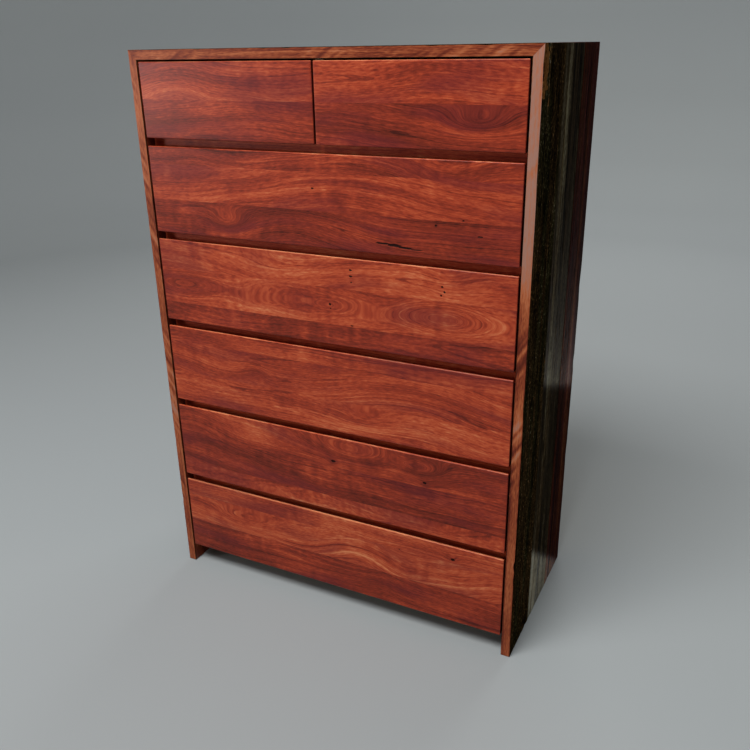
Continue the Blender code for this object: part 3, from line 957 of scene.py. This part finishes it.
def places_across():
    """Places across the panel, closer at the arris and with one on each glue line."""
    places = [*ARRIS_PLACES]
    for line in PANEL_GLUE_LINES:
        places += steps(places[-1], line - GLUE_LINE[0], PANEL_STEP_ACROSS)
        places += [line - GLUE_LINE[0], line, line + GLUE_LINE[0]]
    places += steps(places[-1], PANEL_DEPTH - REAR_ARRIS, PANEL_STEP_ACROSS)
    return [*places, PANEL_DEPTH - REAR_ARRIS, PANEL_DEPTH]


COLUMNS = places_across()
print(len(COLUMNS), "columns across a panel", round(PANEL_THICKNESS / MM, 1), "mm thick")

# %% A panel from cross-sections
def tube(sections):
    """
    A closed solid through sections: an inner front corner, the columns of the old face, an inner rear
    corner. Gives back the solid and the corners of its inner face.
    """
    bm = bmesh.new()
    loops = [[bm.verts.new(point) for point in section] for section in sections]
    for one, other in zip(loops, loops[1:]):
        for here in range(len(one)):
            face = bm.faces.new((one[here - 1], one[here], other[here], other[here - 1]))
            face.material_index = PLANED
            if 1 < here < len(one) - 1:
                face.material_index = sum(COLUMNS[here - 1] > line for line in PANEL_GLUE_LINES)
    for end in (loops[0], loops[-1]):
        bm.faces.new(end).material_index = PLANED
    bmesh.ops.recalc_face_normals(bm, faces=bm.faces)
    return bm, {corner for loop in loops for corner in (loop[0], loop[-1])}


def housings(name, node_names):
    """A cutter that makes room for the neighbours' solids, with a hair of clearance."""
    bm = bmesh.new()
    for node_name in node_names:
        low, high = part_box(node_name)
        grown = high - low + Vector((2, 2, 2)) * HOUSING_FIT
        made = bmesh.ops.create_cube(bm, size=1.0)["verts"]
        bmesh.ops.scale(bm, vec=grown, verts=made)
        bmesh.ops.translate(bm, vec=(low + high) / 2, verts=made)
    return new_cutter(name, bm, planed_edges)


def make_panel(name, sections, housed, log_at):
    """Joins the sections, rounds the inner arrises, cuts the housings, and stores the four values."""
    bm, inner = tube(sections)
    inner_edges = [edge for edge in bm.edges if inner.issuperset(edge.verts)]
    round_edges(bm, [edge for edge in inner_edges if edge.calc_face_angle() > EDGE_ANGLE], INNER_ROUND)
    mesh = subtract(mesh_of(name, bm), PANEL_FINISHES, [housings(f"{name}_housings", housed)])
    depths, coats = [], []

    def place_at(face, point):
        place, tone, eaten, coat = log_at(face, point)
        depths.append(eaten)
        coats.append(coat)
        return place, tone

    store_log(mesh, place_at)
    mesh.attributes.new("eaten", "FLOAT", "CORNER").data.foreach_set("value", depths)
    mesh.attributes.new("coat", "FLOAT", "CORNER").data.foreach_set("value", coats)
    panel = new_piece(f"weathered_{name}", mesh, [], "carcass", name)
    print(panel.name, len(mesh.polygons), "faces")
    return panel


print("housings leave", HOUSING_FIT / MM, "mm of air round what they hold")

# %% [markdown]
# ## The two sides
# A side is one wide old board, glued up from three, that runs to the floor as a foot. Its sections lie one
# above the other, and closer at the foot, where the lower arris is rounded. The left side isn't in the
# photo. It gets the same timber, with fewer chips and without the bleached edge, the scraped corner and the
# thick sealer.

# %% The two sides
FOOT_SHARES = (0.0, 0.15, 0.4, 0.7, 1.0)
LEFT_SEED, TOP_SEED = 5.0, 13.0
# Two boards that lie beside each other in their log would match, so the old faces are shifted by this much
# per seed.
SEED_ACROSS = 0.1


def make_side(name, hand, seed, chipped):
    """A side panel; hand is -1 for the left and 1 for the right."""
    sections = []
    top = case_high.z
    feet = [FOOT_ROUND * share for share in FOOT_SHARES]
    for height in [*feet, *steps(FOOT_ROUND, top, PANEL_STEP_ALONG), top]:
        lift = max(0.0, FOOT_ROUND - height)
        inset = FOOT_ROUND - math.sqrt(FOOT_ROUND ** 2 - lift ** 2)
        near, far = FRONT_Y + inset, case_high.y - inset
        inner_x = hand * (SIDE_LOW.x + inset)
        inner_z = height * (1 - PANEL_THICKNESS / top)
        section = [Vector((inner_x, near, inner_z))]
        for across in COLUMNS:
            depth = max(eaten_at(across, height, top - height, seed, chipped), inset)
            y = min(max(FRONT_Y + across, near), far)
            section.append(Vector((hand * (SIDE_HIGH.x - depth), y, min(height, top - depth))))
        section.append(Vector((inner_x, far, inner_z)))
        sections.append(section)

    def log_at(face, point):
        into, across, down = SIDE_HIGH.x - abs(point.x), point.y - FRONT_Y, top - point.z
        if face.material_index == PLANED:
            tone = drifting(RIGHT_EDGE_TONE if hand > 0 else LEFT_EDGE_TONE, point.z, seed)
            # A planed inner face is painted darker: painted shade.
            if hand * face.normal.x < -SIDEWAYS:
                tone -= INNER_PAINTED_SHADE
            elif hand > 0:
                tone += (BLEACHED_TONE - tone) * bleached(down)
            return (point.z + EDGE_SLANT * into + seed, into + seed, across), tone, 0.0, 0.0
        tone = old_tone(across, point.z, seed)
        # Under the thick sealer the timber is painted paler: a painted reflection.
        if hand > 0 and face.material_index != PANEL_FINISHES.index(dry_black):
            tone += FOOT_PAINTED_REFLECTION * foot_at(across, point.z) + PATCH_PAINTED_REFLECTION * patch_at(across, point.z)
        coat = coat_at(across, point.z) if hand > 0 else THIN_COAT
        return (point.z + seed, across + seed * SEED_ACROSS, into), tone, into, coat

    housed = [f"drawer_rail_{row}" for row in range(1, 6)] + ["bottom_panel", "back_panel"]
    return make_panel(name, sections, housed, log_at)


make_side("left_side_panel", -1, LEFT_SEED, chipped=0.15)
right_side = make_side("right_side_panel", 1, RIGHT_SEED, chipped=1.0)

# %% The scraped corner
RAGGED, RAGGED_GRAIN = 0.6, 14 * MM


def scrape(panel):
    """Where the black skin is scraped off, the dry brown timber under it shows, with a ragged border."""
    black, brown = PANEL_FINISHES.index(dry_black), PANEL_FINISHES.index(bare_brown)
    count = 0
    for face in panel.data.polygons:
        across, down = face.center.y - FRONT_Y, case_high.z - face.center.z
        ragged = RAGGED * noise.noise(face.center / RAGGED_GRAIN)
        if face.material_index == black and scraped(across, down) > 0.5 + ragged:
            face.material_index = brown
            count += 1
    print(count, "faces scraped")


scrape(right_side)

# %% [markdown]
# ## The top
# The top is the same kind of board laid across, with its sections from mitre to mitre. A hair of air is
# left in each mitre, because the joint of a real one shows as a thin dark line.

# %% The top
def make_top(name, seed, chipped):
    """The top panel, mitred to both sides."""
    sections = []
    half, top = case_high.x, case_high.z
    for along in [-half, *steps(-half, half, PANEL_STEP_ALONG), half]:
        inner_x = along * (1 - (PANEL_THICKNESS + MITRE_GAP) / half)
        section = [Vector((inner_x, FRONT_Y, top - PANEL_THICKNESS))]
        for across in COLUMNS:
            depth = eaten_at(across, along, half - abs(along), seed, chipped)
            reach = half - depth - MITRE_GAP
            section.append(Vector((min(max(along, -reach), reach), FRONT_Y + across, top - depth)))
        section.append(Vector((inner_x, case_high.y, top - PANEL_THICKNESS)))
        sections.append(section)

    def log_at(face, point):
        into, across = top - point.z, point.y - FRONT_Y
        if face.material_index == PLANED:
            tone = drifting(TOP_EDGE_TONE, point.x, seed)
            return (point.x + EDGE_SLANT * into + seed, into + seed, across), tone, 0.0, 0.0
        place = (point.x + seed, across + seed * SEED_ACROSS, into)
        return place, old_tone(across, point.x, seed), into, THIN_COAT

    return make_panel(name, sections, ["centre_divider", "back_panel"], log_at)


make_top("top_panel", TOP_SEED, chipped=0.5)

# %% [markdown]
# ## Inside the case
# The rails behind the finger gaps are the same red timber, in the shade, with their red painted brighter to
# stand in for light. Everything that nobody sees is a pale hardwood, planed and left bare, and the thin
# panels are plywood. These pieces keep their solids, so they have no stored log: their place comes from the
# object's own coordinates, turned so that the grain runs along the piece.

# %% Grain along a piece
def along_axis(tree, axes):
    """The object's coordinates in another order: along the grain, across it, and into the board."""
    place = add(tree, "ShaderNodeTexCoord", {}, {}).outputs["Object"]
    parts = add(tree, "ShaderNodeSeparateXYZ", {}, {"Vector": place}).outputs
    ordered = {new: parts[old] for new, old in zip("XYZ", axes)}
    return add(tree, "ShaderNodeCombineXYZ", {}, ordered).outputs[0]


print("a finish for grain along X reads its log as", tuple("XZY"))

# %% Oiled jarrah on the rails
# Little light falls into the finger gaps, so the rails' red is painted brighter than the fronts': painted
# light.
RAIL_PAINTED_LIGHT_TONE = 0.66
RAIL_PAINTED_LIGHT_SHADES = (("#4A130B", 0.0), ("#842818", 0.36), ("#A43A22", 0.52), ("#BC4A2C", 0.70), ("#D07048", 1.0))
oiled_rails, tree, shader = new_finish("oiled_jarrah_rails", 0.45, OIL_IOR, OIL_SPECULAR)
plane_timber(tree, shader, along_axis(tree, "XZY"), RAIL_PAINTED_LIGHT_TONE, JARRAH_LAYERS, RAIL_PAINTED_LIGHT_SHADES, ripple=0.5)
for row in range(1, 6):
    NODES[f"drawer_rail_{row}"].data.materials[0] = oiled_rails
print("rails in", oiled_rails.name)

# %% [markdown]
# ## Bare hardwood
# The drawers' sides and backs, the runners, the divider and the bottom of the case are a pale hardwood,
# planed and left bare. Without oil it scatters light, so its highlight is weak and broad. A board's grain
# runs along its length, and the pieces lie in three directions, so the one function makes three finishes.

# %% Bare hardwood
HARDWOOD_TONE = 0.55
HARDWOOD_LAYERS = (
    # along, across and into the log in mm, detail, strength
    (900, 11, 300, 2.0, 0.8),
    (500, 2.4, 200, 1.0, 0.5),
    (200, 60, 60, 1.0, 0.6),
    (70, 1.4, 1.4, 1.0, 0.5),
)
HARDWOOD_SHADES = (
    ("#8A6440", 0.0), ("#B08A60", 0.35), ("#C6A176", 0.55), ("#D6B68D", 0.75), ("#E4CBA8", 1.0),
)


def new_bare_hardwood(axes):
    """Pale hardwood with its grain along the first of these axes, and its depth along the third."""
    finish, tree, shader = new_finish(f"bare_hardwood_{axes}", 0.55, 1.50, specular=0.4)
    place = along_axis(tree, axes)
    plane_timber(tree, shader, place, HARDWOOD_TONE, HARDWOOD_LAYERS, HARDWOOD_SHADES, ripple=0.25)
    return finish


lengthwise, crosswise, flat = (new_bare_hardwood(axes) for axes in ("YZX", "XZY", "XYZ"))
for name, node in NODES.items():
    if "_drawer_side_" in name or "_runner_" in name or name == "centre_divider":
        node.data.materials[0] = lengthwise
    elif name.endswith("_drawer_back"):
        node.data.materials[0] = crosswise
NODES["bottom_panel"].data.materials[0] = flat
bare = [name for name, node in NODES.items() if node.data.materials[0] in (lengthwise, crosswise, flat)]
print("bare hardwood on", len(bare), "nodes")

# %% [markdown]
# ## Plywood
# Plywood is thin veneers glued with their grain crossed. Its faces show one wide slice peeled off the log,
# with broad soft arches; its edges show the veneers as stripes a little over a millimetre thick.

# %% Plywood
VENEER = 1.2
# The tone of its face, how much darker every second veneer's edge is, and how squarely a face has to face.
VENEER_TONE, VENEER_DARKER, VENEER_FACING = 0.58, -0.4, 0.5
VENEER_LAYERS = (
    # along, across and into the log in mm, detail, strength
    (700, 34, 200, 3.0, 1.1),
    (300, 4, 100, 1.0, 0.35),
    (60, 1.6, 1.6, 1.0, 0.40),
)
VENEER_SHADES = (
    ("#9C7A50", 0.0), ("#C09C6C", 0.35), ("#D2B285", 0.55), ("#E0C69E", 0.75), ("#ECDABB", 1.0),
)


def new_plywood(axes, thickness_axis):
    """Plywood with its face grain along the first of these axes, and its stripes stacked along another."""
    finish, tree, shader = new_finish(f"plywood_{axes}", 0.50, 1.50, specular=0.4)
    place = along_axis(tree, axes)
    depth = add(tree, "ShaderNodeSeparateXYZ", {}, {"Vector": place}).outputs["Z"]
    veneer = add(tree, "ShaderNodeMath", {"operation": "PINGPONG"}, {0: depth, 1: VENEER * MM}).outputs[0]
    half = VENEER / 2 * MM
    stripe = add(tree, "ShaderNodeMath", {"operation": "GREATER_THAN"}, {0: veneer, 1: half}).outputs[0]
    facing = add(tree, "ShaderNodeNewGeometry", {}, {}).outputs["True Normal"]
    facing = add(tree, "ShaderNodeSeparateXYZ", {}, {"Vector": facing}).outputs[thickness_axis]
    facing = add(tree, "ShaderNodeMath", {"operation": "ABSOLUTE"}, {0: facing}).outputs[0]
    on_edge = add(tree, "ShaderNodeMath", {"operation": "LESS_THAN"}, {0: facing, 1: VENEER_FACING})
    striped = add(tree, "ShaderNodeMath", {"operation": "MULTIPLY"}, {0: stripe, 1: on_edge.outputs[0]})
    shade = more(tree, VENEER_TONE, striped.outputs[0], VENEER_DARKER)
    plane_timber(tree, shader, place, shade, VENEER_LAYERS, VENEER_SHADES)
    return finish


flat_plywood, standing_plywood = new_plywood("XYZ", "Z"), new_plywood("ZXY", "Y")
for name, node in NODES.items():
    if name.endswith("_drawer_bottom"):
        node.data.materials[0] = flat_plywood
print("plywood stripes every", VENEER, "mm")

# %% [markdown]
# ## Screws
# Zinc-plated countersunk screws hold the back panel and the runners. The plating is a pale grey metal with
# a faint yellow cast, tumbled rather than polished, so its highlights are soft. The head is a turned
# profile with a cross recess; its countersink is cut into the piece that it holds.

# %% Zinc-plated steel
BLOOM_PER_METRE = 700.0
SMOOTHEST, ROUGHEST = 0.24, 0.42
zinc, tree, shader = new_finish("zinc_plated_steel", 0.32, 1.50, metallic=1.0)
bloom = add(tree, "ShaderNodeTexNoise", {}, {"Scale": BLOOM_PER_METRE, "Detail": 3.0}).outputs["Fac"]
plating = add(tree, "ShaderNodeMix", {"data_type": "RGBA"}, {
    FACTOR: bloom, COLOUR_A: linear("#B9B6A8"), COLOUR_B: linear("#D3D2CB"),
}).outputs[MIXED]
tree.links.new(plating, shader.inputs["Base Color"])
rough = add(tree, "ShaderNodeMapRange", {}, {"Value": bloom, "To Min": SMOOTHEST, "To Max": ROUGHEST})
tree.links.new(rough.outputs[0], shader.inputs["Roughness"])
print("zinc plating is metallic", shader.inputs["Metallic"].default_value)

# %% A screw and its countersink
HEAD_RADIUS, HEAD_TALL, SHANK_RADIUS, SHANK_LONG = 3.2 * MM, 2.2 * MM, 1.5 * MM, 6 * MM
HEAD_SUNK = 0.25 * MM
RECESS_LONG, RECESS_WIDE, RECESS_DEEP = 3.4 * MM, 0.9 * MM, 1.1 * MM
RECESS_TAPER = 0.6
SINK_MARGIN = 0.15 * MM
SCREW_SIDES = 16
# The head has a small bevel round its top and a thin upright rim under it, and the shank ends in a point.
HEAD_BEVEL, HEAD_RIM, SINK_RIM, POINT_LONG = 0.2 * MM, 0.45 * MM, 0.5 * MM, 2 * MM
# Half outlines as (radius, height), from the axis round to the axis. The head's top is at height 0.
SCREW_OUTLINE = (
    (0, 0), (HEAD_RADIUS - HEAD_BEVEL, 0), (HEAD_RADIUS, -HEAD_BEVEL), (HEAD_RADIUS, -HEAD_RIM),
    (SHANK_RADIUS, -HEAD_TALL), (SHANK_RADIUS, -SHANK_LONG), (0, -SHANK_LONG - POINT_LONG),
)
# The countersink is the head's cone grown by a margin, open at the top.
SINK_RADIUS, SINK_FLOOR = HEAD_RADIUS + SINK_MARGIN, -HEAD_SUNK - HEAD_TALL - SINK_MARGIN
SINK_OUTLINE = (
    (0, MM), (SINK_RADIUS, MM), (SINK_RADIUS, -HEAD_SUNK - SINK_RIM),
    (SHANK_RADIUS + SINK_MARGIN, SINK_FLOOR), (0, SINK_FLOOR),
)


def turned(name, outline, sides):
    """Spins (radius, height) points round Z into a mesh."""
    bm = bmesh.new()
    start = [bm.verts.new((radius, 0, height)) for radius, height in outline]
    rim = [bm.edges.new(pair) for pair in zip(start, start[1:])]
    bmesh.ops.spin(
        bm, geom=start + rim, axis=(0, 0, 1), cent=(0, 0, 0), angle=math.tau, steps=sides, use_merge=True
    )
    bmesh.ops.remove_doubles(bm, verts=bm.verts, dist=WELD)
    bmesh.ops.recalc_face_normals(bm, faces=bm.faces)
    return mesh_of(name, bm)


def screw_mesh():
    """A countersunk screw with a cross recess, cut by two tapered bars."""
    mesh = turned("screw", SCREW_OUTLINE, SCREW_SIDES)
    recesses = []
    for number, size in enumerate(((RECESS_LONG, RECESS_WIDE), (RECESS_WIDE, RECESS_LONG))):
        bm = bmesh.new()
        slot = bmesh.ops.create_cube(bm, size=1.0)["verts"]
        bmesh.ops.scale(bm, vec=(*size, 2 * RECESS_DEEP), verts=slot)
        for corner in slot:
            if corner.co.z < 0:
                corner.co.xy *= RECESS_TAPER
        recesses.append(new_cutter(f"recess_{number}", bm, zinc))
    return subtract(mesh, [zinc], recesses)


SCREW = screw_mesh()
SINK = turned("sink", SINK_OUTLINE, SCREW_SIDES)
print("a screw has", len(SCREW.polygons), "faces")

# %% Driving screws
# No two screws stop at the same angle. Each is turned this much further than the one before, in radians.
SCREW_TURN = 1.1


def add_placed(bm, mesh, matrix):
    """Adds a copy of a mesh at a place."""
    before = len(bm.verts)
    bm.from_mesh(mesh)
    bm.verts.ensure_lookup_table()
    bmesh.ops.transform(bm, matrix=matrix, verts=bm.verts[before:])


def screw_down(node_name, places, outwards, finish):
    """Sinks a screw at each place on a node's face, whose outside is `outwards`."""
    turn = Vector(outwards).to_track_quat("Z", "Y").to_matrix().to_4x4()
    screws, sinks = bmesh.new(), bmesh.new()
    for number, place in enumerate(places):
        seat = Matrix.Translation(Vector(place)) @ turn @ Matrix.Rotation(number * SCREW_TURN, 4, "Z")
        add_placed(screws, SCREW, seat @ Matrix.Translation((0, 0, -HEAD_SUNK)))
        add_placed(sinks, SINK, seat)
    new_piece(f"{node_name}_screws", mesh_of(f"{node_name}_screws", screws), [zinc], "carcass")
    mesh = mesh_of(node_name, from_node(node_name))
    mesh = subtract(mesh, [finish], [new_cutter(f"{node_name}_sinks", sinks, finish)])
    board = new_piece(f"screwed_{node_name}", mesh, [], "carcass", node_name)


print("each screw is turned", round(math.degrees(SCREW_TURN)), "degrees further than the one before")

# %% Screws of the back panel
SCREW_ROWS, SCREW_COLUMNS = 200 * MM, 190 * MM
SCREW_INSET, FOOT_SCREW_INSET = 5 * MM, 9 * MM
low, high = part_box("back_panel")
rows = steps(low.z, high.z, SCREW_ROWS)
columns = steps(low.x, high.x, SCREW_COLUMNS)
back_screws = [(x, high.y, z) for x in (low.x + SCREW_INSET, high.x - SCREW_INSET) for z in rows]
back_screws += [(x, high.y, z) for x in columns for z in (low.z + FOOT_SCREW_INSET, high.z - SCREW_INSET)]
screw_down("back_panel", back_screws, (0, 1, 0), standing_plywood)
print(len(back_screws), "screws in the back panel")

# %% Screws of the runners
RUNNER_SCREW_INSET = 45 * MM
for name in [name for name in NODES if "_runner_" in name]:
    low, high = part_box(name)
    inner_left = name.endswith("_right")
    face_x = low.x if inner_left else high.x
    places = [
        (face_x, y, (low.z + high.z) / 2)
        for y in (low.y + RUNNER_SCREW_INSET, (low.y + high.y) / 2, high.y - RUNNER_SCREW_INSET)
    ]
    screw_down(name, places, (-1 if inner_left else 1, 0, 0), lengthwise)
print("three screws in each runner")

# %% [markdown]
# ## The studio
# A plain pale floor sweeps up into a wall all round, so no corner and no horizon shows from any side.

# %% Floor and backdrop
# The outline from the middle of the floor outwards and up, as (radius, height) in metres.
SWEEP = ((0.0, 0.0), (4.2, 0.0), (4.75, 0.11), (5.15, 0.42), (5.4, 0.9), (5.5, 1.5), (5.5, 4.5))
PAPER_SHADES = (("#909495", 0.3), ("#949898", 0.7))
PAPER_CLOUDS_PER_METRE = 3.0
SWEEP_SIDES = 64
floor_finish, floor_tree, floor_shader = new_finish("matt_grey_paper", 0.9, 1.45, specular=0.1)
clouds = {"Scale": PAPER_CLOUDS_PER_METRE, "Detail": 3.0}
paper = add(floor_tree, "ShaderNodeTexNoise", {}, clouds).outputs["Fac"]
floor_tree.links.new(coloured(floor_tree, paper, PAPER_SHADES), floor_shader.inputs["Base Color"])

sweep_mesh = turned("paper_sweep", SWEEP, SWEEP_SIDES)
sweep_mesh.materials.append(floor_finish)
sweep_mesh.shade_smooth()
sweep = bpy.data.objects.new("paper_sweep", sweep_mesh)
bpy.context.scene.collection.objects.link(sweep)
print("the sweep rises", SWEEP[-1][0], "m from the middle")

# %% [markdown]
# ## Light
# The photo was taken under soft light from above and in front, with a window to the left that lays a pale
# sheen on the left ends of the upper fronts. Flat area lamps give such soft edges and highlights. The back
# light is out of the photo's view: it keeps the rear from going black when the case is seen from behind.
# The world adds a little light from all round. The level is plain, so that a colour renders about as it is
# written.

# %% Lights
AIR, AIR_STRENGTH = "#F2F4F7", 0.15


def new_softbox(name, place, target, width, height, watts):
    """A flat lamp of this width and height in metres, aimed at a point."""
    lamp = bpy.data.lights.new(name, "AREA")
    lamp.shape = "RECTANGLE"
    lamp.size, lamp.size_y = width, height
    lamp.energy = watts
    box = bpy.data.objects.new(name, lamp)
    box.location = place
    box.rotation_euler = (Vector(target) - Vector(place)).to_track_quat("-Z", "Y").to_euler()
    bpy.context.scene.collection.objects.link(box)


middle = (case_low + case_high) / 2
new_softbox("window_light", (-3.2, -3.0, 1.2), middle, 0.7, 0.8, 29)
new_softbox("main_light", (-0.3, -2.3, 4.2), middle, 2.4, 1.6, 234)
new_softbox("fill_light", (2.4, -2.8, 3.2), middle, 1.8, 1.8, 10)
new_softbox("back_light", (0.1, 4.4, 3.6), middle + Vector((0, 0.8, -0.4)), 3.2, 1.6, 115)
world = bpy.data.worlds.new("studio_air")
world.use_nodes = True
world.node_tree.nodes["Background"].inputs["Color"].default_value = linear(AIR)
world.node_tree.nodes["Background"].inputs["Strength"].default_value = AIR_STRENGTH
bpy.context.scene.world = world
bpy.context.scene.view_settings.view_transform = "Standard"
print("four lamps and a soft world")

# %% [markdown]
# ## Camera
# The camera stands where the photographer stood, a little right of the case and level with its top. Its
# place, angles and lens were worked out from the corners and the drawer edges that the photo shows, so the
# render and the photo can be laid over each other. Even the slight tilt of the hand is kept, as a roll of
# one degree.

# %% Camera
CAMERA_PLACE = Vector((0.8463, -1.6481, 1.3012))
AZIMUTH, PITCH, ROLL = (math.radians(angle) for angle in (26.72, 22.31, -1.01))
LENS = 38.65

level = math.cos(PITCH)
forward = Vector((-math.sin(AZIMUTH) * level, math.cos(AZIMUTH) * level, -math.sin(PITCH)))
right = forward.cross(Vector((0, 0, 1))).normalized()
up = right.cross(forward)
right, up = right * math.cos(ROLL) + up * math.sin(ROLL), up * math.cos(ROLL) - right * math.sin(ROLL)
camera = bpy.data.objects.new("camera", bpy.data.cameras.new("camera"))
camera.data.lens = LENS
camera.matrix_world = Matrix.Translation(CAMERA_PLACE) @ Matrix((right, up, -forward)).transposed().to_4x4()
bpy.context.scene.collection.objects.link(camera)
bpy.context.scene.camera = camera
print("lens", LENS, "mm, looking down", round(math.degrees(PITCH), 1), "degrees")
